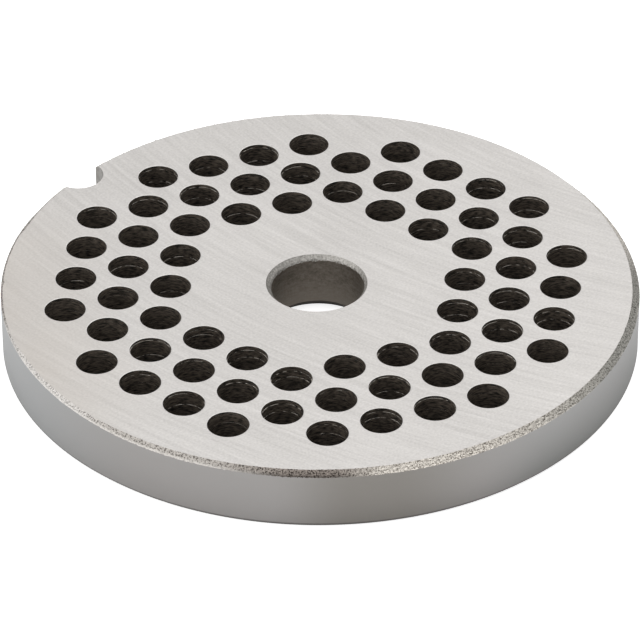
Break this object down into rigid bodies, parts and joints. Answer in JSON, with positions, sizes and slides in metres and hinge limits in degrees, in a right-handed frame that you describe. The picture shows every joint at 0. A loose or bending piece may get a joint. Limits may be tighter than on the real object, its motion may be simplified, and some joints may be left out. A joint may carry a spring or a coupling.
{
  "type": "meat grinder plate",
  "caption": "Flat round steel grinder plate with a chamfered centre bore, a hexagonal field of straight cutting holes and a round key notch in the rim.",
  "frame": {"origin": "on the bore's axis at the plate's bottom face", "axes": "+Z along the bore out of the cutting face, +Y through the key notch in the rim"},
  "size_m": [0.07, 0.0699, 0.007],
  "materials": {
    "ground_steel": "ground stainless steel, satin on the rim"
  },
  "bodies": {
    "root": {"grinder_plate": "ground_steel"}
  },
  "joints": []
}
